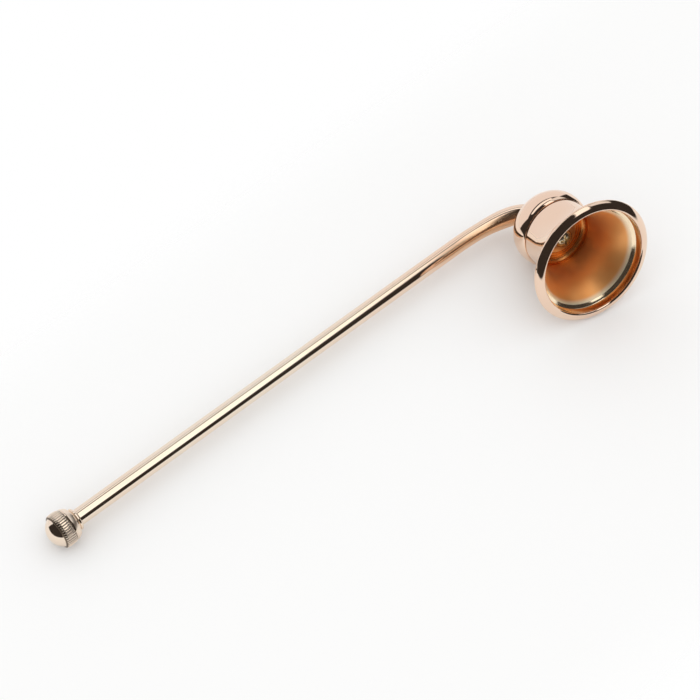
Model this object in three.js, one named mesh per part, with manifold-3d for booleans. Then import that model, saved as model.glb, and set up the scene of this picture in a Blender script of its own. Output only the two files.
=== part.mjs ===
// A candle snuffer: a flared bell with a rolled rim under a round crown, both held by one screw to
// the bent neck of a long handle that ends in a reeded ball. Lengths are millimetres and +Z is up.
// It lies on its side on Z = 0, on its rim, crown and ball, with the handle running along +X.
//
// Every piece is first built in the head's own frame: the middle of the mouth is the origin, the
// bell's axis runs up +Z to the crown, and the handle leaves the neck towards +X.

import * as THREE from "three";
import { mergeVertices } from "three/addons/utils/BufferGeometryUtils.js";
import Module from "manifold-3d";

const wasm = await Module();
wasm.setup();

// Fits: the gap between faces that meet, and the radial room round what passes through a hole
const seatGap = 0.2;
const holeRoom = 0.2;

// Bell: a spun cup, open downwards, with its wall curled into a bead round the mouth
const rimRadius = 17;
const rimBeadRadius = 1.2;
const waistRadius = 9.2;
const waistTopRadius = 9.5;
const waistHeight = 13.4;
const cupDepth = 16.8;
const bellWall = 0.9;
const floorThickness = 0.7;
const floorCornerRadius = 1;
const floorStepRadius = 6.9;
const floorStepHeight = 0.25;
const topEdgeRadius = 0.3;

// Crown: a turned cap with a bead for a shoulder, a low dome and a flat seat for the neck
const crownRadius = 10.35;
const crownFootRadius = 9.5;
const shoulderHeight = 2.8;
const domeHeight = 7.5;
const crownWeb = 2;
const seatRim = 0.35;

// Screw and washers, under the floor of the bell
const screwRadius = 1.25;
const screwHeadRadius = 2.5;
const screwHeadHeight = 1.9;
const screwHeadEdge = 0.7;
const screwTipChamfer = 0.3;
const recessWidth = 0.6;
const recessSpan = 2.8;
const recessDepth = 0.9;
const flatWasherRadius = 4.9;
const flatWasherThickness = 0.5;
const washerEdge = 0.12;
const springWasherRadius = 2.3;
const springWasherThickness = 0.6;
const springWasherSlit = 0.7;

// Handle: one solid bar, with a tenon in the crown, a bent neck, a straight shank and a spigot
const shankRadius = 2.15;
const neckRadius = 2.6;
const neckEndRadius = 2.4;
const neckSwellStart = 6.5;
const neckSwellEnd = 18;
const tenonRadius = 2;
const tenonBoreDepth = 6.2;
const screwTipRoom = 0.6;
const neckRise = 8.4;
const neckRun = 23.3;
const neckStraight = 3.2;
const neckCorner = 5.4;
const handleDrop = THREE.MathUtils.degToRad(10.6);
const handleReach = 150.6;
const spigotRadius = 1.5;
const spigotLength = 4.4;

// Ball on the end of the handle. From the handle it is a thin collar, a groove, a smooth shoulder, a
// fine line, a reeded band and a smooth end. Its parts are placed from the middle of the ball.
const ballRadius = 4.5;
const bandRadius = 4.65;
const bandFrom = 0.5;
const bandTo = 2.7;
const reedCount = 32;
const reedDepth = 0.3;
const lineWidth = 0.3;
const lineDepth = 0.3;
const shoulderFrom = 2.55;
const grooveRadius = 2.6;
const grooveWidth = 0.45;
const collarRadius = 2.95;
const collarWidth = 0.9;
const collarEdge = 0.25;

// How finely round shapes are divided
const bellSides = 48;
const barSides = 24;
const smallSides = 28;
const beadSteps = 10;
const flareSteps = 6;
const shoulderSteps = 4;
const domeSteps = 6;
const neckSteps = 16;
const bandSteps = 4;
const capSteps = 6;
const headSteps = 4;

// Heights in the head's frame, each worked out from the piece below it
const floorTop = cupDepth + floorThickness;
const crownFoot = floorTop + seatGap;
const domeBase = crownFoot + shoulderHeight;
const crownSeatRadius = neckEndRadius + seatRim;
const crownTop = domeBase + domeHeight * Math.sqrt(1 - (crownSeatRadius / crownRadius) ** 2);
const webTop = crownFoot + crownWeb;
const tenonEnd = webTop + seatGap;
const neckFoot = crownTop + seatGap;
const tenonLength = neckFoot - tenonEnd;
const flatWasherTop = cupDepth - seatGap;
const springWasherTop = flatWasherTop - flatWasherThickness - seatGap;
const screwHeadTop = springWasherTop - springWasherThickness - seatGap;
const screwHoleRadius = screwRadius + holeRoom;
const rimRingRadius = rimRadius - rimBeadRadius;
const collarReach = shoulderFrom + grooveWidth + collarWidth;
const shankReach = handleReach - collarReach - seatGap;

// Points [radius, height] on an ellipse round [radius, height], from one angle in degrees to another
function arcPoints([radius, height], [acrossRadius, upRadius], fromAngle, toAngle, steps) {
  return Array.from({ length: steps + 1 }, (_, step) => {
    const angle = THREE.MathUtils.degToRad(THREE.MathUtils.lerp(fromAngle, toAngle, step / steps));
    return [radius + acrossRadius * Math.cos(angle), height + upRadius * Math.sin(angle)];
  });
}

// Points on a smooth curve that leaves one point and meets another by way of two control points
function curvePoints(from, fromControl, toControl, to, steps) {
  const ends = [from, fromControl, toControl, to].map(([x, y]) => new THREE.Vector2(x, y));
  return new THREE.CubicBezierCurve(...ends).getPoints(steps).map(({ x, y }) => [x, y]);
}

// A solid turned about +Z from an outline of [radius, height] points that runs anticlockwise
function turned(outline, sides) {
  const points = outline.map(([radius, height]) => new THREE.Vector2(radius, height));
  return new THREE.LatheGeometry(points, sides).rotateX(Math.PI / 2);
}

// The same about a curve that bends in the XZ plane, from [radius, distance along the curve] points
function turnedAlong(curve, outline, sides) {
  const length = curve.getLength();
  const across = new THREE.Vector3(0, 1, 0);
  const positions = [];
  for (const [radius, distance] of outline) {
    const centre = curve.getPoint(distance / length);
    const outward = across.clone().cross(curve.getTangent(distance / length));
    for (let side = 0; side < sides; side++) {
      const angle = (2 * Math.PI * side) / sides;
      const point = centre.clone();
      point.addScaledVector(outward, radius * Math.cos(angle));
      point.addScaledVector(across, radius * Math.sin(angle));
      positions.push(...point);
    }
  }
  const triangles = [];
  for (let ring = 1; ring < outline.length; ring++) {
    for (let side = 0; side < sides; side++) {
      const low = (ring - 1) * sides + side;
      const lowNext = (ring - 1) * sides + ((side + 1) % sides);
      triangles.push(low, lowNext, lowNext + sides);
      triangles.push(low, lowNext + sides, low + sides);
    }
  }
  const geometry = new THREE.BufferGeometry();
  geometry.setAttribute("position", new THREE.Float32BufferAttribute(positions, 3));
  geometry.setIndex(triangles);
  return geometry;
}

// A closed geometry as a solid that can be joined and cut
function solid(geometry) {
  geometry.deleteAttribute("normal");
  geometry.deleteAttribute("uv");
  const merged = mergeVertices(geometry);
  const vertProperties = merged.attributes.position.array;
  const triVerts = new Uint32Array(merged.index.array);
  return new wasm.Manifold(new wasm.Mesh({ numProp: 3, vertProperties, triVerts }));
}

// And back again, as a geometry to draw
function drawn(made) {
  const { vertProperties, triVerts } = made.getMesh();
  const geometry = new THREE.BufferGeometry();
  geometry.setAttribute("position", new THREE.Float32BufferAttribute(vertProperties, 3));
  geometry.setIndex([...triVerts]);
  return geometry;
}

// The outline starts inside the lip, rounds the bead, climbs the flare and waist outside, and comes
// back over the floor and down the inside. The bead's steps leave it flat where the mouth ends.
function bellGeometry() {
  const beadCentre = [rimRingRadius, rimBeadRadius];
  const bead = arcPoints(beadCentre, [rimBeadRadius, rimBeadRadius], 165, 465, beadSteps);
  const [lipRadius, lipHeight] = bead[0];
  const [flareRadius, flareHeight] = bead[beadSteps];
  const flareOut = (flareRadius - waistRadius) / 3;
  const flareUp = (waistHeight - flareHeight) / 2;
  const insideRadius = waistRadius - bellWall;
  const insideTopRadius = insideRadius - floorCornerRadius;
  const stepFoot = cupDepth + floorStepHeight;
  const outside = curvePoints(
    [flareRadius, flareHeight],
    [flareRadius - flareOut, flareHeight + flareUp / 5],
    [waistRadius, waistHeight - flareUp],
    [waistRadius, waistHeight],
    flareSteps,
  );
  const inside = curvePoints(
    [insideRadius, waistHeight],
    [insideRadius, waistHeight - flareUp],
    [lipRadius - flareOut + bellWall / 3, lipHeight + flareUp / 4],
    [lipRadius, lipHeight],
    flareSteps,
  );
  const topEdge = [waistTopRadius - topEdgeRadius, floorTop - topEdgeRadius];
  const corner = [insideTopRadius, stepFoot - floorCornerRadius];
  return turned(
    [
      ...bead,
      ...outside.slice(1),
      ...arcPoints(topEdge, [topEdgeRadius, topEdgeRadius], 0, 90, 2),
      [screwHoleRadius, floorTop],
      [screwHoleRadius, cupDepth],
      [floorStepRadius, cupDepth],
      [floorStepRadius, stepFoot],
      ...arcPoints(corner, [floorCornerRadius, floorCornerRadius], 90, 0, 3),
      ...inside,
    ],
    bellSides,
  );
}

// The bore takes the tenon of the handle, and the web below it takes the screw
function crownGeometry() {
  const boreRadius = tenonRadius + holeRoom;
  const shoulder = [crownRadius - crownFootRadius, shoulderHeight];
  const domeEnd = THREE.MathUtils.radToDeg(Math.acos(crownSeatRadius / crownRadius));
  return turned(
    [
      [screwHoleRadius, crownFoot],
      ...arcPoints([crownFootRadius, domeBase], shoulder, -90, 0, shoulderSteps),
      ...arcPoints([0, domeBase], [crownRadius, domeHeight], 0, domeEnd, domeSteps).slice(1),
      [boreRadius, crownTop],
      [boreRadius, webTop],
      [screwHoleRadius, webTop],
      [screwHoleRadius, crownFoot],
    ],
    bellSides,
  );
}

// The neck climbs from the crown, turns over tightly and eases out into the straight shank
function handleLine() {
  const direction = new THREE.Vector3(Math.cos(handleDrop), 0, -Math.sin(handleDrop));
  const corner = new THREE.Vector3(0, 0, neckFoot + neckRise);
  const foot = new THREE.Vector3(0, 0, neckFoot);
  const along = (distance) => corner.clone().addScaledVector(direction, distance);
  const line = new THREE.CurvePath();
  line.add(new THREE.LineCurve3(new THREE.Vector3(0, 0, tenonEnd), foot));
  line.add(
    new THREE.CubicBezierCurve3(
      foot,
      new THREE.Vector3(0, 0, neckFoot + neckStraight),
      along(neckCorner),
      along(neckRun),
    ),
  );
  line.add(new THREE.LineCurve3(along(neckRun), along(shankReach + spigotLength)));
  return { line, direction, ballCentre: along(handleReach) };
}

// The bar is thickest just past the tight part of the bend, a little slimmer where it meets the
// crown, and eases down to the shank
function barRadius(distance) {
  const { lerp, smoothstep } = THREE.MathUtils;
  const fromFoot = lerp(neckEndRadius, neckRadius, smoothstep(distance, 0, neckSwellStart));
  const fade = smoothstep(distance, neckSwellStart, neckSwellEnd);
  return lerp(fromFoot, shankRadius, fade);
}

function handleGeometry() {
  const { line } = handleLine();
  const boreRadius = screwRadius + holeRoom;
  const bendEnd = line.getCurveLengths()[1];
  const bendLength = bendEnd - tenonLength;
  const spigotEnd = line.getLength();
  const shankEnd = spigotEnd - spigotLength;
  const bend = Array.from({ length: neckSteps + 1 }, (_, step) => {
    const distance = bendLength * (step / neckSteps) ** 1.5;
    return [barRadius(distance), tenonLength + distance];
  });
  return turnedAlong(
    line,
    [
      [0, tenonBoreDepth],
      [boreRadius, tenonBoreDepth],
      [boreRadius, 0],
      [tenonRadius, 0],
      [tenonRadius, tenonLength],
      ...bend,
      [shankRadius, shankEnd],
      [spigotRadius, shankEnd],
      [spigotRadius, spigotEnd],
      [0, spigotEnd],
    ],
    barSides,
  );
}

// Turned about its own middle, with the collar towards -Z. Every second corner of the reeded band
// is drawn in, which leaves the reeds standing.
function ballGeometry() {
  const boreRadius = spigotRadius + holeRoom;
  const boreEnd = spigotLength - collarReach;
  const collarEnd = -shoulderFrom - grooveWidth;
  const lineRadius = Math.sqrt(ballRadius ** 2 - bandFrom ** 2) - lineDepth;
  const sphere = (radius, from, to, steps) => {
    const [fromAngle, toAngle] = [from, to].map((height) => Math.asin(height / radius));
    const degrees = [fromAngle, toAngle].map(THREE.MathUtils.radToDeg);
    return arcPoints([0, 0], [radius, radius], ...degrees, steps);
  };
  const band = sphere(bandRadius, -bandFrom, bandTo, bandSteps);
  const before = [
    [0, boreEnd],
    [boreRadius, boreEnd],
    [boreRadius, -collarReach],
    [collarRadius - collarEdge, -collarReach],
    [collarRadius, -collarReach + collarEdge],
    [collarRadius, collarEnd - collarEdge],
    [grooveRadius, collarEnd],
    [grooveRadius, -shoulderFrom],
    ...sphere(ballRadius, -shoulderFrom, -bandFrom - lineWidth, shoulderSteps),
    [lineRadius, -bandFrom - lineWidth],
    [lineRadius, -bandFrom],
  ];
  const outline = [...before, ...band, ...sphere(ballRadius, bandTo, ballRadius, capSteps)];
  const geometry = turned(outline, 2 * reedCount);
  const { position } = geometry.attributes;
  for (let index = 0; index < position.count; index++) {
    const column = Math.floor(index / outline.length);
    const row = index % outline.length;
    const reeded = row >= before.length && row < before.length + band.length;
    if (column % 2 === 1 && reeded) {
      const radius = outline[row][0];
      const x = position.getX(index);
      const y = position.getY(index);
      position.setXY(index, x * (1 - reedDepth / radius), y * (1 - reedDepth / radius));
    }
  }
  return geometry;
}

// A pan head with a cross recess, facing the mouth, and a shank that ends inside the tenon
function screwGeometry() {
  const tip = tenonEnd + tenonBoreDepth - screwTipRoom;
  const headBottom = screwHeadTop - screwHeadHeight;
  const domed = screwHeadHeight - screwHeadEdge;
  const body = turned(
    [
      ...arcPoints([0, headBottom + domed], [screwHeadRadius, domed], -90, 0, headSteps),
      [screwHeadRadius, screwHeadTop],
      [screwRadius, screwHeadTop],
      [screwRadius, tip - screwTipChamfer],
      [screwRadius - screwTipChamfer, tip],
      [0, tip],
    ],
    smallSides,
  );
  const slot = new THREE.BoxGeometry(recessSpan, recessWidth, 2 * recessDepth);
  slot.translate(0, 0, headBottom);
  const crossSlot = slot.clone().rotateZ(Math.PI / 2);
  return drawn(solid(body).subtract(solid(slot).add(solid(crossSlot))));
}

function flatWasherGeometry() {
  const bottom = flatWasherTop - flatWasherThickness;
  return turned(
    [
      [screwHoleRadius, bottom],
      [flatWasherRadius - washerEdge, bottom],
      [flatWasherRadius, bottom + washerEdge],
      [flatWasherRadius, flatWasherTop],
      [screwHoleRadius, flatWasherTop],
      [screwHoleRadius, bottom],
    ],
    bellSides,
  );
}

// Pressed flat by the screw, so only its slit tells it from a plain washer
function springWasherGeometry() {
  const halfSlit = springWasherSlit / 2 / springWasherRadius;
  const ring = new THREE.Shape();
  ring.absarc(0, 0, springWasherRadius, halfSlit, 2 * Math.PI - halfSlit, false);
  ring.absarc(0, 0, screwHoleRadius, 2 * Math.PI - halfSlit, halfSlit, true);
  ring.closePath();
  const settings = { depth: springWasherThickness, bevelEnabled: false, curveSegments: smallSides };
  const geometry = new THREE.ExtrudeGeometry(ring, settings);
  return geometry.translate(0, 0, springWasherTop - springWasherThickness);
}

// The way down, in the head's frame, when the rim, the crown and the ball all touch the table. The
// axis tips until rim and crown are level, and the head rolls until the ball has come down too.
function wayDown(ballCentre) {
  const rimReach = (tip) =>
    rimRingRadius * Math.cos(tip) + rimBeadRadius * (1 + Math.sin(tip));
  const crownReach = (tip) =>
    Math.hypot(crownRadius * Math.cos(tip), domeHeight * Math.sin(tip)) + domeBase * Math.sin(tip);
  let low = 0;
  let high = Math.PI / 2;
  for (let halving = 0; halving < 40; halving++) {
    const middle = (low + high) / 2;
    if (rimReach(middle) > crownReach(middle)) low = middle;
    else high = middle;
  }
  const reach = rimReach(low) - bandRadius - ballCentre.z * Math.sin(low);
  const towardsHandle = reach / ballCentre.x;
  const sideways = Math.sqrt(Math.cos(low) ** 2 - towardsHandle ** 2);
  return new THREE.Vector3(towardsHandle, -sideways, Math.sin(low));
}

// Turns the head's frame so that up is up and the handle runs along +X
function lyingTurn(direction, ballCentre) {
  const up = wayDown(ballCentre).negate();
  const forward = direction.clone().projectOnPlane(up).normalize();
  const left = up.clone().cross(forward);
  const turn = new THREE.Matrix4().makeBasis(forward, left, up).transpose();
  return new THREE.Quaternion().setFromRotationMatrix(turn);
}

function piece(name, geometry, color, roughness) {
  const material = new THREE.MeshStandardMaterial({ color, roughness, metalness: 1 });
  const mesh = new THREE.Mesh(geometry, material);
  mesh.name = name;
  return mesh;
}

const roseGold = 0xe6bd9b;
const warmCopper = 0xc98a5a;
const brightSteel = 0xd8d6d2;

const { direction, ballCentre } = handleLine();
const knob = piece("end_knob", ballGeometry(), roseGold, 0.12);
knob.position.copy(ballCentre);
knob.quaternion.setFromUnitVectors(new THREE.Vector3(0, 0, 1), direction);

const lying = new THREE.Group();
lying.quaternion.copy(lyingTurn(direction, ballCentre));
lying.add(
  piece("handle_rod", handleGeometry(), roseGold, 0.1),
  knob,
  piece("crown", crownGeometry(), roseGold, 0.1),
  piece("bell", bellGeometry(), warmCopper, 0.22),
  piece("flat_washer", flatWasherGeometry(), warmCopper, 0.3),
  piece("spring_washer", springWasherGeometry(), brightSteel, 0.3),
  piece("bell_screw", screwGeometry(), brightSteel, 0.2),
);

const snuffer = new THREE.Group();
snuffer.add(lying);
snuffer.updateMatrixWorld(true);
const box = new THREE.Box3().setFromObject(snuffer, true);
const middle = box.getCenter(new THREE.Vector3());
lying.position.set(-middle.x, -middle.y, -box.min.z);

export default snuffer;
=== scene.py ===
# Looks for a candle snuffer in polished rose gold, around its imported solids.
# Sizes in the dictionaries are millimetres unless a note says otherwise. Those of the bell, crown,
# handle and screw are in the head's own frame: the middle of the mouth is the origin, the bell's axis
# runs up +Z to the crown, and the handle leaves the neck towards +X. The ball's are from its middle.

import math
import bpy
from mathutils import Matrix, Vector


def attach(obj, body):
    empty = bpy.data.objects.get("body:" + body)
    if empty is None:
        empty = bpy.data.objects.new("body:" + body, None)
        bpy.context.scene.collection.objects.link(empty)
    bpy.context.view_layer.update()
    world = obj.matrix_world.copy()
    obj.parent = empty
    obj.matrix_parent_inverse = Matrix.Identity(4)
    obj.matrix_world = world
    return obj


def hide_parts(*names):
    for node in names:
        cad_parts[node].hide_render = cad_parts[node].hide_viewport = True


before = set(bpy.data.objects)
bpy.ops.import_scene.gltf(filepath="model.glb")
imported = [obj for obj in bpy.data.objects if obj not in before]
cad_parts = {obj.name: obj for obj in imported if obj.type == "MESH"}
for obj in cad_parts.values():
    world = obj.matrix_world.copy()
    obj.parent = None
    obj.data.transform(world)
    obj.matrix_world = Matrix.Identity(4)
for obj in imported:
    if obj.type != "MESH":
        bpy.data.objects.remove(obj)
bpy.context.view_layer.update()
scene = bpy.context.scene
print("frame loaded:", ", ".join(sorted(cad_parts)))


class Wire:
    # An output socket. Sums and products of wires and numbers add the Math nodes they need.
    def __init__(self, graph, socket):
        self.graph = graph
        self.socket = socket

    def math(self, operation, first, second=0.0):
        node = self.graph.add("ShaderNodeMath", {"operation": operation}, {0: first, 1: second})
        return node.out(0)

    def __add__(self, other):
        return self.math("ADD", self, other)

    def __radd__(self, other):
        return self.math("ADD", other, self)

    def __sub__(self, other):
        return self.math("SUBTRACT", self, other)

    def __rsub__(self, other):
        return self.math("SUBTRACT", other, self)

    def __mul__(self, other):
        return self.math("MULTIPLY", self, other)

    def __rmul__(self, other):
        return self.math("MULTIPLY", other, self)

    def __truediv__(self, other):
        return self.math("DIVIDE", self, other)

    def __pow__(self, other):
        return self.math("POWER", self, other)

    def floor(self):
        return self.math("FLOOR", self)

    def modulo(self, other):
        return self.math("MODULO", self, other)

    def sine(self):
        return self.math("SINE", self)

    def atLeast(self, other):
        return self.math("MAXIMUM", self, other)


class Node:
    def __init__(self, graph, node):
        self.graph = graph
        self.node = node

    def out(self, name):
        return Wire(self.graph, self.node.outputs[name])


class Graph:
    def __init__(self, tree):
        self.tree = tree

    # One node: its type, then its settings, then the values or wires of its sockets
    def add(self, kind, settings=None, values=None):
        node = self.tree.nodes.new(kind)
        for name, setting in (settings or {}).items():
            setattr(node, name, setting)
        for name, value in (values or {}).items():
            if isinstance(value, Wire):
                self.tree.links.new(value.socket, node.inputs[name])
            else:
                node.inputs[name].default_value = value
        return Node(self, node)

    # From 0 to 1 as the wire goes from one value to another, eased at both ends
    def ease(self, wire, start, end):
        settings = {"interpolation_type": "SMOOTHSTEP"}
        values = {"Value": wire, "From Min": start, "From Max": end}
        return self.add("ShaderNodeMapRange", settings, values).out("Result")

    def mixColor(self, factor, first, second):
        settings = {"data_type": "RGBA", "clamp_factor": True}
        return self.add("ShaderNodeMix", settings, {0: factor, 6: first, 7: second}).out(2)


# How the snuffer lies: the head's frame and the ball's place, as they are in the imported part
lie = {
    "mouthCentre": (-65.71777, 16.29420, 16.54976),
    "headX": (0.9827514, -0.1741783, -0.0621420),
    "headY": (0.0028720, -0.3216115, 0.9468674),
    "axisUp": (-0.1849094, -0.9307137, -0.3155639),
    "ballCentre": (78.16370, -17.51901, 4.62840),
    "handleDirection": (0.9999954, 0.0, -0.0030332),
}
millimetre = 0.001
sharpAngle = math.radians(32)  # edges that turn by more than this stay sharp in the shading


def frameOf(origin, xAxis, yAxis, zAxis):
    turn = Matrix((xAxis, yAxis, zAxis)).transposed().to_4x4()
    return Matrix.Scale(millimetre, 4) @ Matrix.Translation(origin) @ turn


headFrame = frameOf(lie["mouthCentre"], lie["headX"], lie["headY"], lie["axisUp"])
ballUp = Vector(lie["handleDirection"])
ballSide = Vector(lie["headY"]).cross(ballUp).normalized()
ballFrame = frameOf(lie["ballCentre"], ballSide, ballUp.cross(ballSide), ballUp)


# Turned pieces: an outline of (radius, height) points, turned about +Z by Geometry Nodes
def arcPoints(centre, radii, start, end, steps):
    angles = [math.radians(start + (end - start) * step / steps) for step in range(steps + 1)]
    return [(centre[0] + radii[0] * math.cos(a), centre[1] + radii[1] * math.sin(a)) for a in angles]


# How much each of a curve's four corners counts, at each step along it
def curveWeights(steps):
    ts = [step / steps for step in range(steps + 1)]
    return [((1 - t) ** 3, 3 * t * (1 - t) ** 2, 3 * t * t * (1 - t), t**3) for t in ts]


def curvePoints(corners, steps):
    made = []
    for weights in curveWeights(steps):
        made.append(tuple(sum(w * c[axis] for w, c in zip(weights, corners)) for axis in (0, 1)))
    return made


softening = {
    "fromTurn": 25,  # degrees by which an outline turns at a corner that polishing rounds
    "edgeShare": 0.45,  # share of an edge that one corner may take
    "pull": 0.6,  # how far the curve reaches towards the corner
    "steps": 3,
}


# Rounds the corners of an outline, as polishing does
def softened(outline, radius):
    closed = outline[0] == outline[-1]
    points = [Vector(point) for point in (outline[:-1] if closed else outline)]
    made = []
    for index, point in enumerate(points):
        inner = closed or 0 < index < len(points) - 1
        before = points[index - 1] - point
        after = points[(index + 1) % len(points)] - point
        turn = math.pi - before.angle(after, math.pi)
        if not inner or turn < math.radians(softening["fromTurn"]):
            made.append(tuple(point))
            continue
        share, pull = softening["edgeShare"], softening["pull"]
        back = min(radius, before.length * share, after.length * share)
        start = point + before.normalized() * back
        end = point + after.normalized() * back
        corners = [start, start.lerp(point, pull), end.lerp(point, pull), end]
        made += curvePoints(corners, softening["steps"])
    if closed:
        made.append(made[0])
    return made


# A tree takes a geometry and its named inputs, and closeTree ends it as the export needs
def newTree(name, inputs):
    tree = bpy.data.node_groups.new(name, "GeometryNodeTree")
    tree.interface.new_socket("Geometry", in_out="INPUT", socket_type="NodeSocketGeometry")
    for label, kind in inputs:
        tree.interface.new_socket(label, in_out="INPUT", socket_type="NodeSocket" + kind)
    tree.interface.new_socket("Geometry", in_out="OUTPUT", socket_type="NodeSocketGeometry")
    graph = Graph(tree)
    return tree, graph, graph.add("NodeGroupInput")


def closeTree(graph, shape, given):
    shape = graph.add("GeometryNodeRealizeInstances", None, {"Geometry": shape}).out("Geometry")
    values = {"Geometry": shape, "Material": given.out("Material")}
    shape = graph.add("GeometryNodeSetMaterial", None, values).out("Geometry")
    graph.add("NodeGroupOutput", None, {"Geometry": shape})


latheSizes = {
    "rowMargin": 1e-5,  # keeps a whole row number from being rounded down
    "mergeDistance": 0.0005,  # closes the seam and the poles
}


# Lays a grid with one row for each point of the outline, and turns each column by its own angle
def latheTree():
    tree, graph, given = newTree("turned piece", [("Sides", "Int"), ("Material", "Material")])
    outline = given.out("Geometry")
    size = graph.add("GeometryNodeAttributeDomainSize", None, {"Geometry": outline})
    columns = given.out("Sides") + 1
    values = {"Vertices X": size.out("Point Count"), "Vertices Y": columns}
    grid = graph.add("GeometryNodeMeshGrid", None, values).out("Mesh")
    index = graph.add("GeometryNodeInputIndex").out("Index")
    place = graph.add("GeometryNodeInputPosition").out("Position")
    settings = {"data_type": "FLOAT_VECTOR", "domain": "POINT"}
    row = (index / columns + latheSizes["rowMargin"]).floor()
    values = {"Geometry": outline, "Value": place, "Index": row}
    point = graph.add("GeometryNodeSampleIndex", settings, values).out("Value")
    angle = index.modulo(columns) / given.out("Sides") * (2 * math.pi)
    values = {"Vector": point, "Axis": (0, 0, 1), "Angle": angle}
    turnedPoint = graph.add("ShaderNodeVectorRotate", {"rotation_type": "AXIS_ANGLE"}, values)
    values = {"Geometry": grid, "Position": turnedPoint.out("Vector")}
    shape = graph.add("GeometryNodeSetPosition", None, values).out("Geometry")
    values = {"Geometry": shape, "Distance": latheSizes["mergeDistance"]}
    shape = graph.add("GeometryNodeMergeByDistance", None, values).out("Geometry")
    shape = graph.add("GeometryNodeSetShadeSmooth", None, {"Geometry": shape}).out("Geometry")
    closeTree(graph, shape, given)
    return tree


# Runs a tree on a mesh and keeps the result as a plain mesh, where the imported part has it
def grown(name, source, tree, inputs, place):
    worker = bpy.data.objects.new("worker", source)
    scene.collection.objects.link(worker)
    modifier = worker.modifiers.new("grow", "NODES")
    modifier.node_group = tree
    sockets = {item.name: item.identifier for item in tree.interface.items_tree
               if item.in_out == "INPUT"}
    for label, value in inputs.items():
        modifier[sockets[label]] = value
    shape = worker.evaluated_get(bpy.context.evaluated_depsgraph_get())
    mesh = bpy.data.meshes.new_from_object(shape)
    worker.modifiers.remove(modifier)
    bpy.data.objects.remove(worker)
    mesh.materials.clear()
    mesh.materials.append(inputs["Material"])
    mesh.polygons.foreach_set("material_index", [0] * len(mesh.polygons))
    return placed(name, mesh, place)


# Below zero where the faces point inwards
def volumeOf(mesh):
    mesh.calc_loop_triangles()
    corners = [[mesh.vertices[v].co for v in triangle.vertices] for triangle in mesh.loop_triangles]
    return sum(a.dot(b.cross(c)) for a, b, c in corners) / 6


# Puts a mesh in place, with its faces outwards, and makes a piece of it
def placed(name, mesh, place):
    mesh.name = name
    mesh.transform(place)
    if volumeOf(mesh) < 0:
        mesh.flip_normals()
    mesh.polygons.foreach_set("use_smooth", [True] * len(mesh.polygons))
    mesh.set_sharp_from_angle(angle=sharpAngle)
    piece = bpy.data.objects.new(name, mesh)
    scene.collection.objects.link(piece)
    return piece


def lineMesh(points):
    mesh = bpy.data.meshes.new("line")
    mesh.from_pydata(points, [(index, index + 1) for index in range(len(points) - 1)], [])
    return mesh


lathe = latheTree()


def turned(name, outline, sides, material, place=headFrame):
    inputs = {"Sides": sides, "Material": material}
    line = lineMesh([(radius, 0, height) for radius, height in outline])
    return grown(name, line, lathe, inputs, place)


# Says what a piece rides on and which imported parts it stands for
def settle(piece, body, slotName, *nodes):
    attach(piece, body)
    if nodes:
        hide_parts(*nodes)


# A finish is one material. Its patterns read the place on the piece.
class Finish(Graph):
    def __init__(self, name):
        self.material = bpy.data.materials.new(name)
        self.material.use_nodes = True
        super().__init__(self.material.node_tree)
        self.tree.nodes.clear()
        self.place = self.add("ShaderNodeTexCoord").out("Object")

    # The place on the piece in millimetres in the head's or the ball's own frame
    def within(self, frameMatrix):
        turn = frameMatrix.inverted()
        values = {
            "Location": turn.to_translation(),
            "Rotation": turn.to_euler(),
            "Scale": turn.to_scale(),
        }
        settings = {"vector_type": "POINT"}
        return self.add("ShaderNodeMapping", settings, {"Vector": self.place, **values}).out(0)

    def noise(self, place, scale, detail=3.0, roughness=0.5):
        values = {"Vector": place, "Scale": scale, "Detail": detail, "Roughness": roughness}
        return self.add("ShaderNodeTexNoise", {"noise_dimensions": "3D"}, values).out("Fac")

    # Soft spots, from 0 to 1, where the noise rises through a spread of values
    def spots(self, place, scale, detail, spread):
        return self.ease(self.noise(place, scale, detail), *spread)

    def stretched(self, place, factors):
        values = {0: place, 1: factors}
        return self.add("ShaderNodeVectorMath", {"operation": "MULTIPLY"}, values).out(0)

    def shade(self, values, height=None, depth=0.0):
        if height is not None:
            bump = {"Height": height, "Distance": depth, "Strength": 1.0}
            values["Normal"] = self.add("ShaderNodeBump", None, bump).out("Normal")
        shader = self.add("ShaderNodeBsdfPrincipled", None, values).out("BSDF")
        self.add("ShaderNodeOutputMaterial", None, {"Surface": shader})
        return self.material


roseGold = {
    "color": (0.87, 0.65, 0.505, 1),
    "worn": (0.87, 0.75, 0.62, 1),  # where handling has thinned the pink tone
    "handledFrom": 20.0,
    "handledTo": 70.0,
    "warmReflection": (0.88, 0.56, 0.34, 1),  # painted warm reflection on the side of the neck that faces the mouth, where a warm light would show
    "warmReflectionFrom": 22.0,  # millimetres along the handle from the bell's axis
    "warmReflectionTo": 34.0,
    "warmReflectionHeight": 25.0,  # millimetres above the mouth, from which the neck takes the painted warm reflection
    "warmReflectionFade": 1,
    "warmReflectionFacing": (-0.3, -0.75),  # lean of the surface towards the mouth, from none to the full painted warm reflection
    "warmReflectionEven": 0.75,  # share of the painted warm reflection that is the same all over, the rest is in patches
    "warmReflectionRoughness": 0.2,
    "roughness": 0.045,
    "smudge": 0.05,  # what smudges add to the roughness
    "smudgeScale": 140,  # the scales of the patterns are for each metre
    "smudgeSpread": (0.45, 0.75),
    "patchScale": 60,
    "patchSpread": (0.4, 0.7),
    "patchWear": 0.3,  # share of the wear that comes in patches
    "handledWear": 0.7,
    "hairline": 0.05,
    "hairlineScale": (60, 2600, 2600),  # drawn out along the handle
    "hairlineSpread": (0.62, 0.72),
    "hairlineRipple": 0.15,
    "ripple": 0.000002,  # metres
    "rippleScale": 420,
    "grooveShade": (0.17, 0.125, 0.085, 1),  # painted shade, dark between the reeds of the ball
    "grooveShadeRoughness": 0.3,
    "dullRoughness": 0.26,  # where the polishing wheel doesn't reach
}
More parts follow.
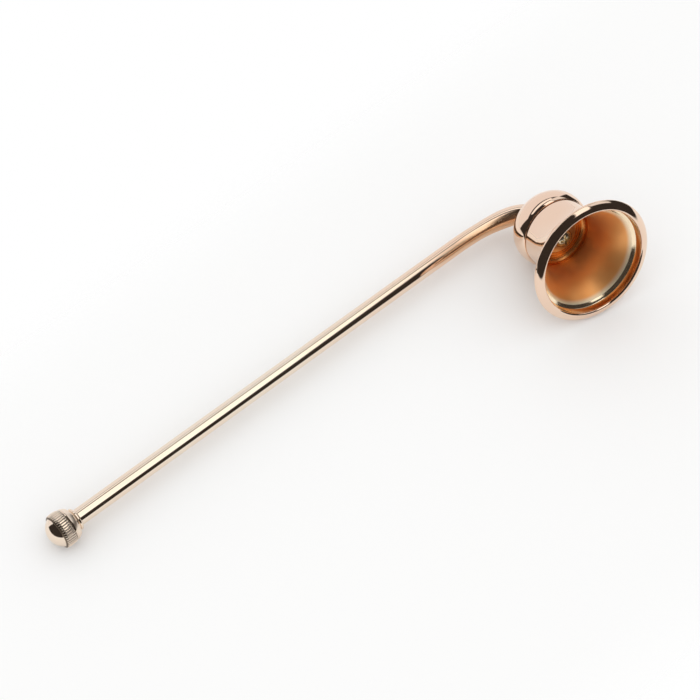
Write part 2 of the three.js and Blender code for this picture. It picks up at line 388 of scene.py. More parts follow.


# The last argument gives how much painted shade lies on the piece and how dull it is
def roseGoldFinish(name, shadeAndDullOf=None):
    finish = Finish(name)
    smudge = finish.spots(finish.place, roseGold["smudgeScale"], 4, roseGold["smudgeSpread"])
    patch = finish.spots(finish.place, roseGold["patchScale"], 2, roseGold["patchSpread"])
    along = finish.stretched(finish.place, roseGold["hairlineScale"])
    hairline = finish.spots(along, 1, 2, roseGold["hairlineSpread"])
    parts = finish.add("ShaderNodeSeparateXYZ", None, {0: finish.within(headFrame)})
    normal = finish.add("ShaderNodeTexCoord").out("Normal")
    values = {0: normal, 1: lie["axisUp"]}
    facing = finish.add("ShaderNodeVectorMath", {"operation": "DOT_PRODUCT"}, values).out("Value")
    # Painted warm reflection: a warm tone on the side of the neck that faces the mouth, standing in
    # for a warm light
    warmReflectionMask = finish.ease(facing, *roseGold["warmReflectionFacing"])
    warmReflectionMask = warmReflectionMask * finish.ease(parts.out("X"), roseGold["warmReflectionTo"], roseGold["warmReflectionFrom"])
    warmReflectionHeight, even = roseGold["warmReflectionHeight"], roseGold["warmReflectionEven"]
    above = finish.ease(parts.out("Z"), warmReflectionHeight, warmReflectionHeight + roseGold["warmReflectionFade"])
    warmReflectionMask = warmReflectionMask * above * (even + patch * (1 - even))
    roughness = roseGold["roughness"] + smudge * roseGold["smudge"] + hairline * roseGold["hairline"]
    handled = finish.ease(parts.out("X"), roseGold["handledFrom"], roseGold["handledTo"])
    wear = patch * roseGold["patchWear"] + handled * roseGold["handledWear"]
    plating = finish.mixColor(wear, roseGold["color"], roseGold["worn"])
    ripple = finish.noise(finish.place, roseGold["rippleScale"], 2)
    ripple = ripple + hairline * roseGold["hairlineRipple"]
    color = finish.mixColor(warmReflectionMask, plating, roseGold["warmReflection"])
    roughness = roughness + warmReflectionMask * roseGold["warmReflectionRoughness"]
    if shadeAndDullOf:
        grooveShade, dull = shadeAndDullOf(finish)
        # Painted shade between the reeds darkens the colour there and roughens it
        color = finish.mixColor(grooveShade, color, roseGold["grooveShade"])
        roughness = roughness + grooveShade * roseGold["grooveShadeRoughness"] + dull * roseGold["dullRoughness"]
    values = {"Base Color": color, "Metallic": 1.0, "Roughness": roughness}
    return finish.shade(values, ripple, roseGold["ripple"])


satinCopper = {
    "color": (0.94, 0.45, 0.155, 1),
    "tarnish": (0.86, 0.33, 0.085, 1),
    "tarnishShare": 0.5,
    "patchScale": 0.11,  # here the scales are for each millimetre
    "patchSpread": (0.38, 0.66),
    # Pale colour at the lip: a painted highlight, the silver arc along the inside of the lip
    "lip": (1.0, 0.82, 0.58, 1),
    "lipHighlightFrom": 3.0,  # height above the mouth up to which the lip keeps the pale colour of its painted highlight
    "lipHighlightTo": 4.0,
    "polishFrom": 2.85,  # height above the mouth where the polished lip turns satin
    "polishTo": 3.05,
    "metallic": 0.8,  # the satin coat scatters some of the light
    "roughness": 0.38,
    "lipRoughness": 0.1,
    "floorRoughness": 0.2,
    "ringPitch": 0.68,
    "ringFrom": 14.0,  # height above the mouth from which the spun rings show
    "ringFade": 2.2,
    "ringHeight": 9.0,  # times the height of the grain
    "spin": 0.06,
    "spinTurns": 6.0,  # how close the marks of the spinning tool lie
    "spinScale": 1.5,
    "spinRoughness": 0.6,
    "fleck": 0.05,
    "fleckScale": 2.2,
    "fleckSpread": (0.66, 0.74),
    "fleckHeight": 0.2,
    "grain": 0.000004,  # metres
}


def satinCopperFinish():
    finish = Finish("satin copper")
    place = finish.within(headFrame)
    parts = finish.add("ShaderNodeSeparateXYZ", None, {0: place})
    x, y, z = parts.out("X"), parts.out("Y"), parts.out("Z")
    radius = (x * x + y * y) ** 0.5
    spinTurns = satinCopper["spinTurns"]
    values = {"X": radius * spinTurns, "Y": z * spinTurns}
    around = finish.add("ShaderNodeCombineXYZ", None, values).out(0)
    spin = finish.noise(around, satinCopper["spinScale"], 4, satinCopper["spinRoughness"])
    patch = finish.spots(place, satinCopper["patchScale"], 2, satinCopper["patchSpread"])
    fleck = finish.spots(place, satinCopper["fleckScale"], 3, satinCopper["fleckSpread"])
    # Pale at the lip, where the colour paints the highlight, and copper deeper inside
    inside = finish.ease(z, satinCopper["lipHighlightFrom"], satinCopper["lipHighlightTo"])
    satin = finish.ease(z, satinCopper["polishFrom"], satinCopper["polishTo"])
    ringFrom = satinCopper["ringFrom"]
    bottom = finish.ease(z, ringFrom, ringFrom + satinCopper["ringFade"])
    turns = ((radius - z) * (2 * math.pi / satinCopper["ringPitch"])).sine()
    rings = (turns * 0.5 + 0.5) ** 2.0 * bottom * satinCopper["ringHeight"]
    tarnished = patch * satinCopper["tarnishShare"]
    deep = finish.mixColor(tarnished, satinCopper["color"], satinCopper["tarnish"])
    roughness = satinCopper["lipRoughness"]
    roughness = roughness + (satinCopper["roughness"] - roughness) * satin
    roughness = roughness + (satinCopper["floorRoughness"] - satinCopper["roughness"]) * bottom
    values = {
        "Base Color": finish.mixColor(inside, satinCopper["lip"], deep),
        "Metallic": 1.0 - satin * (1.0 - bottom) * (1.0 - satinCopper["metallic"]),
        "Roughness": roughness + spin * satinCopper["spin"] + fleck * satinCopper["fleck"],
    }
    height = spin + fleck * satinCopper["fleckHeight"] + rings
    return finish.shade(values, height, satinCopper["grain"])


brightSteel = {
    "color": (0.72, 0.60, 0.42, 1),
    "dull": (0.45, 0.34, 0.20, 1),
    "dullShare": 0.6,
    "dullRoughness": 0.12,
    "patchScale": 900,
    "patchSpread": (0.45, 0.7),
    "roughness": 0.16,
    "grain": 0.000004,  # metres
    "grainScale": 4200,
}


def brightSteelFinish():
    finish = Finish("bright plated steel")
    patch = finish.spots(finish.place, brightSteel["patchScale"], 3, brightSteel["patchSpread"])
    grain = finish.noise(finish.place, brightSteel["grainScale"], 3)
    dull = patch * brightSteel["dullShare"]
    values = {
        "Base Color": finish.mixColor(dull, brightSteel["color"], brightSteel["dull"]),
        "Metallic": 1.0,
        "Roughness": brightSteel["roughness"] + patch * brightSteel["dullRoughness"],
    }
    return finish.shade(values, grain, brightSteel["grain"])


rosePolish = roseGoldFinish("polished rose gold")
copperSatin = satinCopperFinish()
steelBright = brightSteelFinish()
print("finishes made:", rosePolish.name, copperSatin.name, steelBright.name)


# Bell: a spun cup with its wall curled into a bead round the mouth
bell = {
    "rimRadius": 16.92,
    "beadRadius": 1.2,
    "beadFrom": 165,  # degrees round the bead, from inside the lip to the outside of the flare
    "beadTo": 465,
    "beadInner": 0.5,  # the bead is tight towards the mouth, flat in front and round outside
    "beadFace": 2.4,
    "beadOuter": 0.8,
    "beadTurn": 275,  # degrees round the bead where the tight part ends
    "beadSteps": (20, 24, 30),
    "waistRadius": 9.2,
    "waistTopRadius": 9.5,
    "waistHeight": 13.4,
    "wall": 0.9,
    "cupDepth": 16.8,
    "floorThickness": 0.7,
    "floorCorner": 1,
    "floorStepRadius": 6.9,
    "floorStepHeight": 0.25,
    "cornerSteps": 10,
    "topEdge": 0.3,
    "topEdgeSteps": 6,
    "holeRadius": 1.45,
    "lipTurnRadius": 14.25,  # the inside stands up to here behind the bead before it flares in
    "lipTurnHeight": 2.4,
    "lipTurnPull": (0.2, 0.3),  # how far the turn leans outwards and down
    "lipPull": 0.5,
    "lipSteps": 12,
    "wallSteps": 40,
    "satinInset": 2,  # the satin starts this far inside the rim
    "hair": 0.001,  # wide enough for rounding, when faces are sorted by their place
    "edge": 0.06,
    "sides": 180,
}


# The bead's section: three arcs that run into each other
def beadPoints():
    inner, face, outer = bell["beadInner"], bell["beadFace"], bell["beadOuter"]
    turn = math.radians(bell["beadTurn"])
    centre = (bell["rimRadius"] - 2 * bell["beadRadius"] + inner, inner)
    ahead = (math.cos(turn), math.sin(turn))
    faceCentre = tuple(c + (inner - face) * part for c, part in zip(centre, ahead))
    end = math.acos((bell["rimRadius"] - outer - faceCentre[0]) / (face - outer))
    outerCentre = (bell["rimRadius"] - outer, faceCentre[1] - (face - outer) * math.sin(end))
    ends = (bell["beadFrom"], bell["beadTurn"], 360 - math.degrees(end), bell["beadTo"])
    centres, radii = (centre, faceCentre, outerCentre), (inner, face, outer)
    points = []
    for at, radius, start, stop, steps in zip(centres, radii, ends, ends[1:], bell["beadSteps"]):
        arc = arcPoints(at, (radius, radius), start, stop, steps)
        points += arc[1:] if points else arc
    return points


# The polished outside with its bead, and the satin inside
def bellOutlines():
    bead = beadPoints()
    end = math.radians(bell["beadTo"])
    ringRadius = bell["rimRadius"] - bell["beadRadius"]
    flare = (ringRadius + bell["beadRadius"] * math.cos(end), bell["beadRadius"] * (1 + math.sin(end)))
    lip = bead[0]
    waist, waistHeight, wall = bell["waistRadius"], bell["waistHeight"], bell["wall"]
    flareOut = (flare[0] - waist) / 3
    flareUp = (waistHeight - flare[1]) / 2
    within = waist - wall
    stepFoot = bell["cupDepth"] + bell["floorStepHeight"]
    floorTop = bell["cupDepth"] + bell["floorThickness"]
    flareLow = (flare[0] - flareOut, flare[1] + flareUp / 5)
    corners = [flare, flareLow, (waist, waistHeight - flareUp), (waist, waistHeight)]
    outside = curvePoints(corners, bell["wallSteps"])
    turn = (bell["lipTurnRadius"], bell["lipTurnHeight"])
    turnLow = (turn[0] - flareOut + wall / 3, turn[1] + flareUp / 7)
    corners = [(within, waistHeight), (within, waistHeight - flareUp), turnLow, turn]
    inside = curvePoints(corners, bell["wallSteps"])
    pullOut, pullDown = bell["lipTurnPull"]
    leaning = (turn[0] + pullOut, turn[1] - pullDown)
    corners = [turn, leaning, (lip[0], lip[1] + bell["lipPull"]), lip]
    inside += curvePoints(corners, bell["lipSteps"])[1:]
    edge, corner, hole = bell["topEdge"], bell["floorCorner"], bell["holeRadius"]
    edgeCentre = (bell["waistTopRadius"] - edge, floorTop - edge)
    topEdge = arcPoints(edgeCentre, (edge, edge), 0, 90, bell["topEdgeSteps"])
    cornerCentre = (within - corner, stepFoot - corner)
    shell = bead + outside + topEdge + [(hole, floorTop)]
    bowl = [(hole, bell["cupDepth"]), (bell["floorStepRadius"], bell["cupDepth"])]
    bowl += [(bell["floorStepRadius"], stepFoot)]
    bowl += arcPoints(cornerCentre, (corner, corner), 90, 0, bell["cornerSteps"]) + inside
    return shell, bowl


shell, bowl = bellOutlines()
bellPiece = turned("bell_spun", softened(shell + bowl, bell["edge"]), bell["sides"], rosePolish)
bellPiece.data.materials.append(copperSatin)

# The faces between the lip and the floor that look inwards get the satin copper
intoHead = headFrame.inverted()
satinTop = bell["cupDepth"] + bell["floorStepHeight"] + 10 * bell["hair"]
satinRadius = bell["rimRadius"] - bell["satinInset"]
for face in bellPiece.data.polygons:
    centre = intoHead @ face.center
    facing = (intoHead.to_3x3() @ face.normal).normalized()
    outward = facing.x * centre.x + facing.y * centre.y
    inBowl = bowl[-1][1] < centre.z < satinTop and math.hypot(centre.x, centre.y) < satinRadius
    if inBowl and outward <= bell["hair"]:
        face.material_index = 1
settle(bellPiece, "bell_head", "bell_copper", "bell")


# Crown: a turned cap with a bead for a shoulder, a low dome and a flat seat for the neck
crown = {
    "radius": 10.32,
    "footRadius": 9.5,
    "foot": 17.7,
    "shoulderHeight": 2.8,
    "domeHeight": 7.5,
    "seatRadius": 2.75,
    "boreRadius": 2.2,
    "holeRadius": 1.45,
    "webTop": 19.7,
    "shoulderSteps": 20,
    "domeSteps": 40,
    "edge": 0.12,
    "sides": 180,
}


def crownOutline():
    base = crown["foot"] + crown["shoulderHeight"]
    shoulder = (crown["radius"] - crown["footRadius"], crown["shoulderHeight"])
    domeEnd = math.degrees(math.acos(crown["seatRadius"] / crown["radius"]))
    domeRadii = (crown["radius"], crown["domeHeight"])
    dome = arcPoints((0, base), domeRadii, 0, domeEnd, crown["domeSteps"])
    outline = [(crown["holeRadius"], crown["foot"])]
    outline += arcPoints((crown["footRadius"], base), shoulder, -90, 0, crown["shoulderSteps"])
    outline += dome[1:]
    outline += [(crown["boreRadius"], dome[-1][1]), (crown["boreRadius"], crown["webTop"])]
    outline += [(crown["holeRadius"], crown["webTop"]), (crown["holeRadius"], crown["foot"])]
    return softened(outline, crown["edge"])


crownPiece = turned("crown_turned", crownOutline(), crown["sides"], rosePolish)
settle(crownPiece, "bell_head", "rose_gold", "crown")
print("bell and crown made")


# Handle: one bar along its bent centre line, thickest just past the tight part of the bend
handle = {
    "tenonEnd": 19.9,
    "rise": 8.4,  # from the crown's seat up to the corner that the bend rounds off
    "run": 23.3,  # from that corner to where the shank is straight
    "straight": 3.2,  # the two pulls of the bend's curve: up from the seat, and on from the corner
    "corner": 5.4,
    "drop": 10.6,  # degrees by which the shank leans towards the mouth's side
    "reach": 150.6,  # from that corner to the middle of the ball
    "collarReach": 3.9,
    "seatGap": 0.2,
    "spigotLength": 4.4,
    "stepWidth": 0.002,  # the bar changes from one thickness to the next over this length
    "bendSteps": 120,
    "shankSteps": 40,
    "Tenon radius": 2.0,  # from here on, the names are those of the tree's inputs
    "Neck end radius": 2.4,
    "Neck radius": 2.6,
    "Shank radius": 2.15,
    "Spigot radius": 1.5,
    "Swell start": 6.5,
    "Swell end": 18.0,
    "Sides": 64,
}
crownTop = max(height for radius, height in crownOutline())
handle["foot"] = crownTop + handle["seatGap"]


def handleLine():
    drop = math.radians(handle["drop"])
    direction = Vector((math.cos(drop), 0, -math.sin(drop)))
    foot = Vector((0, 0, handle["foot"]))
    corner = foot + Vector((0, 0, handle["rise"]))
    run, shankSteps = handle["run"], handle["shankSteps"]
    corners = [
        foot,
        foot + Vector((0, 0, handle["straight"])),
        corner + direction * handle["corner"],
        corner + direction * run,
    ]
    shankEnd = handle["reach"] - handle["collarReach"] - handle["seatGap"]
    points = [Vector((0, 0, handle["tenonEnd"])), foot - Vector((0, 0, handle["stepWidth"]))]
    for weights in curveWeights(handle["bendSteps"]):
        points.append(sum((w * c for w, c in zip(weights, corners)), Vector()))
    steps = range(1, shankSteps + 1)
    reaches = [run + (shankEnd - run) * step / shankSteps for step in steps]
    reaches += [shankEnd + handle["stepWidth"], shankEnd + handle["spigotLength"]]
    points += [corner + direction * reach for reach in reaches]
    return points


# Sweeps a ring along the line. Its radius goes by the distance from the foot of the neck.
def barTree():
    sizes = ["Tenon length", "Bar length", "Tenon radius", "Neck end radius", "Neck radius"]
    sizes += ["Shank radius", "Spigot radius", "Swell start", "Swell end"]
    inputs = [(size, "Float") for size in sizes] + [("Sides", "Int"), ("Material", "Material")]
    tree, graph, given = newTree("bar along a line", inputs)
    line = graph.add("GeometryNodeMeshToCurve", None, {"Mesh": given.out("Geometry")}).out("Curve")
    reach = graph.add("GeometryNodeSplineParameter").out("Length")
    distance = reach - given.out("Tenon length")
    swell = graph.ease(distance, 0.0, given.out("Swell start"))
    fade = graph.ease(distance, given.out("Swell start"), given.out("Swell end"))
    neck = given.out("Neck end radius")
    neck = neck + (given.out("Neck radius") - neck) * swell
    radius = neck + (given.out("Shank radius") - neck) * fade
    margin = handle["stepWidth"] / 2
    inTenon = distance.math("LESS_THAN", distance, -margin)
    inSpigot = distance.math("GREATER_THAN", reach, given.out("Bar length") + margin)
    radius = radius + (given.out("Tenon radius") - radius) * inTenon
    radius = radius + (given.out("Spigot radius") - radius) * inSpigot
    values = {"Resolution": given.out("Sides"), "Radius": 1.0}
    ring = graph.add("GeometryNodeCurvePrimitiveCircle", {"mode": "RADIUS"}, values).out("Curve")
    values = {"Curve": line, "Profile Curve": ring, "Scale": radius, "Fill Caps": True}
    shape = graph.add("GeometryNodeCurveToMesh", None, values).out("Mesh")
    shape = graph.add("GeometryNodeSetShadeSmooth", None, {"Geometry": shape}).out("Geometry")
    closeTree(graph, shape, given)
    return tree


handlePoints = handleLine()
lengths = [(b - a).length for a, b in zip(handlePoints, handlePoints[1:])]
handleInputs = {name: value for name, value in handle.items() if name[0].isupper()}
handleInputs["Tenon length"] = handle["foot"] - handle["tenonEnd"]
handleInputs["Bar length"] = sum(lengths[:-2])
handleInputs["Material"] = rosePolish
handlePiece = grown("handle_bar", lineMesh(handlePoints), barTree(), handleInputs, headFrame)
settle(handlePiece, "handle", "rose_gold", "handle_rod")
print("handle made")


# Ball: collar, groove, smooth shoulder, fine line, reeded band and smooth end
ball = {
    "radius": 4.5,
    "bandRadius": 4.62,
    "bandFrom": 0.95,  # from the ball's middle towards the handle
    "bandTo": 2.25,  # from the ball's middle towards its end
    "bandCurve": 7.0,  # radius of the band's barrel shape along the axis
    "bandFloor": 0.25,
    "lineWidth": 0.3,
    "lineDepth": 0.3,
    "shoulderFrom": 2.55,  # from the ball's middle towards the handle
    "grooveRadius": 2.6,
    "grooveWidth": 0.45,
    "collarRadius": 2.95,
    "collarWidth": 0.9,
    "collarEdge": 0.25,
    "boreRadius": 1.7,
    "boreEnd": 0.5,
    "shoulderSteps": 24,
    "bandSteps": 24,
    "endSteps": 40,
    "dullMargin": 0.2,  # the shoulder is polished this far from its edges
    "dullFade": 0.3,
    "edge": 0.08,
    "sides": 128,
}
reeds = {
    "Count": 42,
    "height": 0.22,
    "root": 0.12,  # depth of a reed's foot in the band
    "fill": 0.94,  # share of the pitch that one reed takes
    "endSlope": 9.0,  # how steeply a reed rises at its ends
    "lengthSteps": 24,
    "widthSteps": 10,
    "flatness": 4,  # 2 makes a reed round across, more makes its top flatter
    "grooveShadeStart": 0.07,  # the painted shade starts at this depth between the reeds
    "grooveShadeFull": 0.17,
    "grooveShadeFade": 0.05,
}


def ballArc(radius, start, end, steps):
    angles = [math.degrees(math.asin(height / radius)) for height in (start, end)]
    return arcPoints((0, 0), (radius, radius), *angles, steps)


# The band's radius over its reeds, at a height
def bandRadiusAt(height):
    middle = (ball["bandTo"] - ball["bandFrom"]) / 2
    return ball["bandRadius"] - (height - middle) ** 2 / (2 * ball["bandCurve"])


def ballOutline():
    collarReach = ball["shoulderFrom"] + ball["grooveWidth"] + ball["collarWidth"]
    collarEnd = -ball["shoulderFrom"] - ball["grooveWidth"]
    lineRadius = ball["radius"] - ball["lineDepth"]
    lineFrom = -ball["bandFrom"] - ball["lineWidth"]
    outline = [(0, ball["boreEnd"]), (ball["boreRadius"], ball["boreEnd"])]
    outline += [(ball["boreRadius"], -collarReach)]
    outline += [(ball["collarRadius"] - ball["collarEdge"], -collarReach)]
    outline += [(ball["collarRadius"], -collarReach + ball["collarEdge"])]
    outline += [(ball["collarRadius"], collarEnd - ball["collarEdge"])]
    outline += [(ball["grooveRadius"], collarEnd), (ball["grooveRadius"], -ball["shoulderFrom"])]
    outline += ballArc(ball["radius"], -ball["shoulderFrom"], lineFrom, ball["shoulderSteps"])
    outline += [(lineRadius, lineFrom), (lineRadius, -ball["bandFrom"])]
    bandLength = ball["bandTo"] + ball["bandFrom"]
    for step in range(ball["bandSteps"] + 1):
        height = -ball["bandFrom"] + bandLength * step / ball["bandSteps"]
        outline.append((bandRadiusAt(height) - ball["bandFloor"], height))
    outline += ballArc(ball["radius"], ball["bandTo"], ball["radius"], ball["endSteps"])
    return softened(outline, ball["edge"])


# One reed: rows of points along the ball's axis, with its foot inside the band
def reedMesh():
    halfWidth = math.pi / reeds["Count"] * reeds["fill"]
    bandLength = ball["bandTo"] + ball["bandFrom"]
    depth = ball["bandFloor"] + reeds["root"]
    rise = depth - (ball["bandFloor"] - reeds["height"])
    points = []
    rows, columns = reeds["lengthSteps"] + 1, reeds["widthSteps"] + 1
    for row in range(rows):
        t = row / (rows - 1)
        lift = min(1, reeds["endSlope"] * min(t, 1 - t)) ** 0.5
        height = -ball["bandFrom"] + bandLength * t
        for column in range(columns):
            side = 2 * column / (columns - 1) - 1
            crest = math.sqrt(1 - abs(side) ** reeds["flatness"])
            radius = bandRadiusAt(height) - depth + rise * lift * crest
            across = side * halfWidth
            points.append((radius * math.cos(across), radius * math.sin(across), height))
    faces = []
    for row in range(rows - 1):
        first = row * columns
        for low in range(first, first + columns - 1):
            faces.append((low, low + 1, low + columns + 1, low + columns))
        faces.append((first, first + columns, first + 2 * columns - 1, first + columns - 1))
    faces.append(tuple(range(columns))[::-1])
    faces.append(tuple(range((rows - 1) * columns, rows * columns)))
    mesh = bpy.data.meshes.new("one reed")
    mesh.from_pydata(points, [], faces)
    return mesh


def ringTree():
    tree, graph, given = newTree("ring of reeds", [("Count", "Int"), ("Material", "Material")])
    count = given.out("Count")
    points = graph.add("GeometryNodePoints", None, {"Count": count}).out("Points")
    index = graph.add("GeometryNodeInputIndex").out("Index")
    turn = graph.add("ShaderNodeCombineXYZ", None, {"Z": index / count * (2 * math.pi)}).out(0)
    values = {"Points": points, "Instance": given.out("Geometry"), "Rotation": turn}
    shape = graph.add("GeometryNodeInstanceOnPoints", None, values).out("Instances")
    closeTree(graph, shape, given)
    return tree


# Painted shade lies on the reeded band below the tops of the reeds, and the shoulder by the collar is
# dull
def ballShadeAndDull(finish):
    parts = finish.add("ShaderNodeSeparateXYZ", None, {0: finish.within(ballFrame)})
    x, y, z = parts.out("X"), parts.out("Y"), parts.out("Z")
    bandFrom, bandTo, shoulderFrom = -ball["bandFrom"], ball["bandTo"], -ball["shoulderFrom"]
    grooveShadeFade, margin = reeds["grooveShadeFade"], ball["dullMargin"]
    fromMiddle = z - (ball["bandTo"] - ball["bandFrom"]) / 2
    surface = ball["bandRadius"] - fromMiddle * fromMiddle / (2 * ball["bandCurve"])
    depth = surface - (x * x + y * y) ** 0.5
    grooveShade = finish.ease(depth, reeds["grooveShadeStart"], reeds["grooveShadeFull"])
    grooveShade = grooveShade * finish.ease(z, bandFrom - grooveShadeFade, bandFrom)
    grooveShade = grooveShade * finish.ease(z, bandTo + grooveShadeFade, bandTo)
    dull = finish.ease(z, bandFrom - margin, bandFrom - margin - ball["dullFade"])
    return grooveShade, dull * finish.ease(z, shoulderFrom - margin, shoulderFrom)


reededPolish = roseGoldFinish("reeded rose gold", ballShadeAndDull)
ballPiece = turned("knob_ball", ballOutline(), ball["sides"], reededPolish, ballFrame)
settle(ballPiece, "handle", "rose_gold", "end_knob")
reedInputs = {"Count": reeds["Count"], "Material": reededPolish}
reedPiece = grown("knob_reeds", reedMesh(), ringTree(), reedInputs, ballFrame)
settle(reedPiece, "handle", "rose_gold")
print("ball made, with", reeds["Count"], "reeds")


# Screw and flat washer, on the floor of the bell. Heights are from the mouth.
screw = {
    "radius": 1.25,
    "headRadius": 2.5,
    "headHeight": 1.9,
    "headEdge": 0.7,
    "headTop": 15.1,
    "tip": 25.5,
    "tipChamfer": 0.3,
    "recessWidth": 0.6,
    "recessSpan": 2.8,
    "recessDepth": 0.9,
    "domeSteps": 24,
    "edge": 0.08,
    "sides": 64,
}


def screwOutline():
    bottom = screw["headTop"] - screw["headHeight"]
    domed = screw["headHeight"] - screw["headEdge"]
    domeRadii = (screw["headRadius"], domed)
    outline = arcPoints((0, bottom + domed), domeRadii, -90, 0, screw["domeSteps"])
    outline += [(screw["headRadius"], screw["headTop"]), (screw["radius"], screw["headTop"])]
    outline += [(screw["radius"], screw["tip"] - screw["tipChamfer"])]
    outline += [(screw["radius"] - screw["tipChamfer"], screw["tip"]), (0, screw["tip"])]
    return softened(outline, screw["edge"])


def boxMesh(name, size, centre):
    corners = [(x, y, z) for x in (-0.5, 0.5) for y in (-0.5, 0.5) for z in (-0.5, 0.5)]
    points = [tuple(c * s + m for c, s, m in zip(corner, size, centre)) for corner in corners]
    faces = [(0, 1, 3, 2), (4, 6, 7, 5), (0, 4, 5, 1), (2, 3, 7, 6), (0, 2, 6, 4), (1, 5, 7, 3)]
    mesh = bpy.data.meshes.new(name)
    mesh.from_pydata(points, [], faces)
    mesh.transform(headFrame)
    return mesh


# Cuts the two slots of the cross into the head
def cutRecess(piece):
    bottom = screw["headTop"] - screw["headHeight"]
    span, width, depth = screw["recessSpan"], screw["recessWidth"], 2 * screw["recessDepth"]
    for name, size in (("slot", (span, width, depth)), ("crossSlot", (width, span, depth))):
        cutter = bpy.data.objects.new(name, boxMesh(name, size, (0, 0, bottom)))
        scene.collection.objects.link(cutter)
        modifier = piece.modifiers.new("recess", "BOOLEAN")
        modifier.operation = "DIFFERENCE"
        modifier.solver = "EXACT"
        modifier.object = cutter
        shape = piece.evaluated_get(bpy.context.evaluated_depsgraph_get())
        mesh = bpy.data.meshes.new_from_object(shape)
        piece.modifiers.remove(modifier)
        bpy.data.objects.remove(cutter)
        piece.data = mesh


screwPiece = turned("screw_turned", screwOutline(), screw["sides"], steelBright)
cutRecess(screwPiece)
screwPiece.data.set_sharp_from_angle(angle=sharpAngle)
settle(screwPiece, "handle", "screw_steel", "bell_screw")

flatWasher = {
    "radius": 4.9,
    "holeRadius": 1.45,
    "top": 16.6,
    "thickness": 0.5,
    "edge": 0.14,
    "sides": 128,
}


def washerOutline():
    top, bottom = flatWasher["top"], flatWasher["top"] - flatWasher["thickness"]
    hole, rim = flatWasher["holeRadius"], flatWasher["radius"]
    outline = [(hole, bottom), (rim, bottom), (rim, top), (hole, top), (hole, bottom)]
    return softened(outline, flatWasher["edge"])


washerPiece = turned("washer_flat", washerOutline(), flatWasher["sides"], rosePolish)
settle(washerPiece, "handle", "bell_copper", "flat_washer")

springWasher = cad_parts["spring_washer"]
springWasher.data.materials.clear()
springWasher.data.materials.append(steelBright)
print("screw and washers made")


# Floor, pale and plain. Its edge fades out, so the metal sees the dim room beyond the table.
floorLook = {
    "color": (0.975, 0.975, 0.97, 1),
    "roughness": 0.75,
    "grain": 0.1,
    "grainScale": 900,
    "from": (-280, -66),  # millimetres from the middle of the snuffer
    "to": (138, 98),
    "fade": 16,
}


def makeFloor():
    low, high, fade = floorLook["from"], floorLook["to"], floorLook["fade"]
    xs, ys = (low[0] - fade, high[0] + fade), (low[1] - fade, high[1] + fade)
    corners = [(xs[0], ys[0], 0), (xs[1], ys[0], 0), (xs[1], ys[1], 0), (xs[0], ys[1], 0)]
    mesh = bpy.data.meshes.new("floor")
    mesh.from_pydata([Vector(corner) * millimetre for corner in corners], [], [(0, 1, 2, 3)])
    floor = bpy.data.objects.new("floor", mesh)
    scene.collection.objects.link(floor)
    finish = Finish("pale floor")
    place = finish.stretched(finish.place, [1 / millimetre] * 3)
    parts = finish.add("ShaderNodeSeparateXYZ", None, {0: place})
    inside = 1.0
    for part, start, end in zip((parts.out("X"), parts.out("Y")), low, high):
        inside = inside * finish.ease(part, start - fade, start + fade)
        inside = inside * finish.ease(part, end + fade, end - fade)
    grain = finish.noise(finish.place, floorLook["grainScale"], 2)
    values = {
        "Base Color": floorLook["color"],
        "Roughness": floorLook["roughness"] + grain * floorLook["grain"],
        "Specular IOR Level": 0.0,
        "Alpha": inside,
    }
    mesh.materials.append(finish.shade(values))


makeFloor()


# Studio: even light on matt surfaces. Polished metal sees a dim room with pale cards and lights.
studio = {
    "fill": (1, 1, 1, 1),
    "background": (1, 1, 1, 1),
    "room": (0.035, 0.029, 0.026, 1),
    "softness": 0.08,
    "ahead": (0.02, 0.06),  # a card shows only ahead of its plane, with a soft start
}
# A card lies on a plane that faces one direction (azimuth and elevation in degrees), and covers a
# rectangle of it (from and to across, from and to upwards, as tangents), with a colour
cards = {
    "top light": (90, 90, -0.5, -0.06, -1.1, 0.3, (1.36, 1.34, 1.3)),
    "back light": (180, 42, -0.45, 0.45, -0.22, 0.35, (0.9, 0.9, 0.9)),
    "left light": (-95, 48, -0.62, 0.62, -0.03, 0.24, (1.2, 1.2, 1.18)),
    "left wall": (-100, 4, -1.3, 1.4, -0.5, 0.74, (0.94, 0.92, 0.93)),
}


def cardAxes(azimuth, elevation):
    a, e = math.radians(azimuth), math.radians(elevation)
    ahead = Vector((math.cos(a) * math.cos(e), math.sin(a) * math.cos(e), math.sin(e)))
    side = Vector((math.sin(a), -math.cos(a), 0))
    return ahead, side, side.cross(ahead)


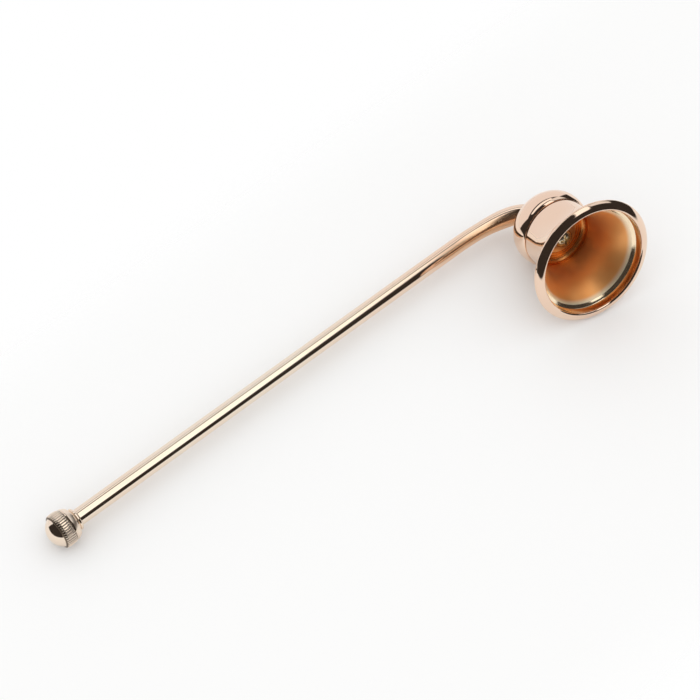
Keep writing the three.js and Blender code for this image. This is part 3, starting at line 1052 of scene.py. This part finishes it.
# How far a direction in the room falls on a card: 1 on it, 0 off it
def cardMask(graph, direction, azimuth, elevation, left, right, bottom, top):
    parts = []
    for axis in cardAxes(azimuth, elevation):
        values = {0: direction, 1: axis}
        node = graph.add("ShaderNodeVectorMath", {"operation": "DOT_PRODUCT"}, values)
        parts.append(node.out("Value"))
    mask = graph.ease(parts[0], *studio["ahead"])
    depth = parts[0].atLeast(studio["ahead"][0])
    soft = studio["softness"] / 2
    for part, start, end in ((parts[1], left, right), (parts[2], bottom, top)):
        reach = part / depth
        mask = mask * graph.ease(reach, start - soft, start + soft)
        mask = mask * graph.ease(reach, end + soft, end - soft)
    return mask


def makeStudio():
    world = bpy.data.worlds.new("studio")
    world.use_nodes = True
    scene.world = world
    graph = Graph(world.node_tree)
    world.node_tree.nodes.clear()
    direction = graph.add("ShaderNodeTexCoord").out("Generated")
    seen = studio["room"]
    for *place, color in cards.values():
        mask = cardMask(graph, direction, *place)
        seen = graph.mixColor(mask, seen, (*color, 1))
    path = graph.add("ShaderNodeLightPath")
    seen = graph.mixColor(path.out("Is Glossy Ray"), studio["fill"], seen)
    seen = graph.mixColor(path.out("Is Camera Ray"), seen, studio["background"])
    background = graph.add("ShaderNodeBackground", None, {"Color": seen, "Strength": 1.0}).out(0)
    graph.add("ShaderNodeOutputWorld", None, {"Surface": background})


makeStudio()

# Camera: the photograph's view, fitted to it
view = {
    "position": (208.932, 236.669, 457.740),  # millimetres from the middle of the snuffer
    "right": (-0.747838, 0.663854, -0.005985),
    "up": (-0.539840, -0.602838, 0.587502),
    "back": (0.386408, 0.442588, 0.809200),
    "lens": 114.19,
    "sensor": 36,
    "nearest": 0.01,  # metres
    "furthest": 20,
}


def makeCamera():
    data = bpy.data.cameras.new("camera")
    data.lens = view["lens"]
    data.sensor_width = view["sensor"]
    data.clip_start = view["nearest"]
    data.clip_end = view["furthest"]
    camera = bpy.data.objects.new("camera", data)
    scene.collection.objects.link(camera)
    turn = Matrix((view["right"], view["up"], view["back"])).transposed().to_4x4()
    camera.matrix_world = Matrix.Translation(Vector(view["position"]) * millimetre) @ turn
    scene.camera = camera


makeCamera()
scene.view_settings.view_transform = "Standard"
print("floor, studio and camera made")
